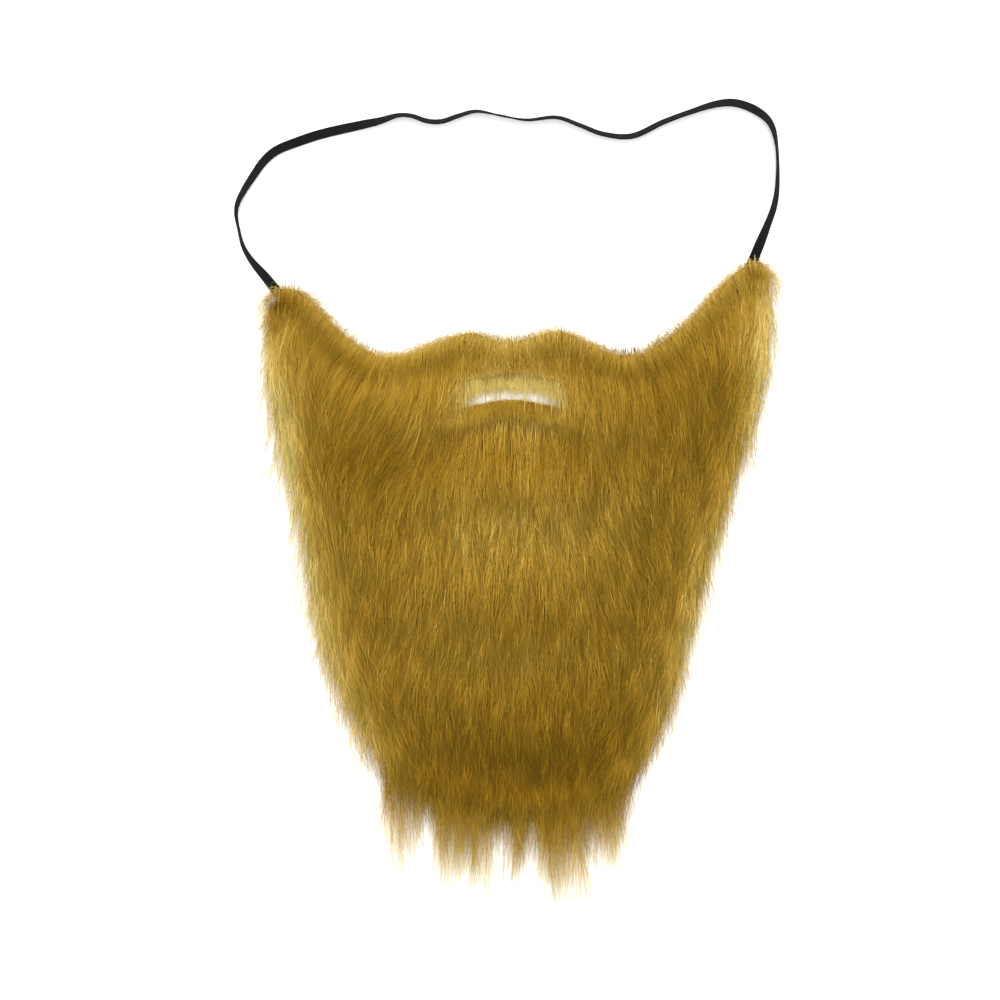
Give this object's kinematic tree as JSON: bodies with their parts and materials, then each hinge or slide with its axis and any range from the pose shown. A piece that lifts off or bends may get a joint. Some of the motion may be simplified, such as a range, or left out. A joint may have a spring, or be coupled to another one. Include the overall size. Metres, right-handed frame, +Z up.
{
  "type": "fake beard",
  "caption": "Costume beard of long-pile fur cloth with a crescent mouth slot and a flat elastic from ear tip to ear tip, lying face up.",
  "frame": {"origin": "on the flat back of the ground cloth, on the beard's centre line, in the flat fold below its middle", "axes": "+Y from the chin towards the ear tips and the elastic, +X to the right as the fur is looked at, +Z up out of the fur"},
  "size_m": [0.2725, 0.4178, 0.0202],
  "materials": {
    "ground_cloth": "matte knitted ground",
    "fur": "soft combed pile with a slight sheen",
    "elastic": "matte woven elastic"
  },
  "bodies": {
    "root": {"backing_cloth": "ground_cloth", "fur_pile": "fur", "elastic_band": "elastic"}
  },
  "joints": []
}
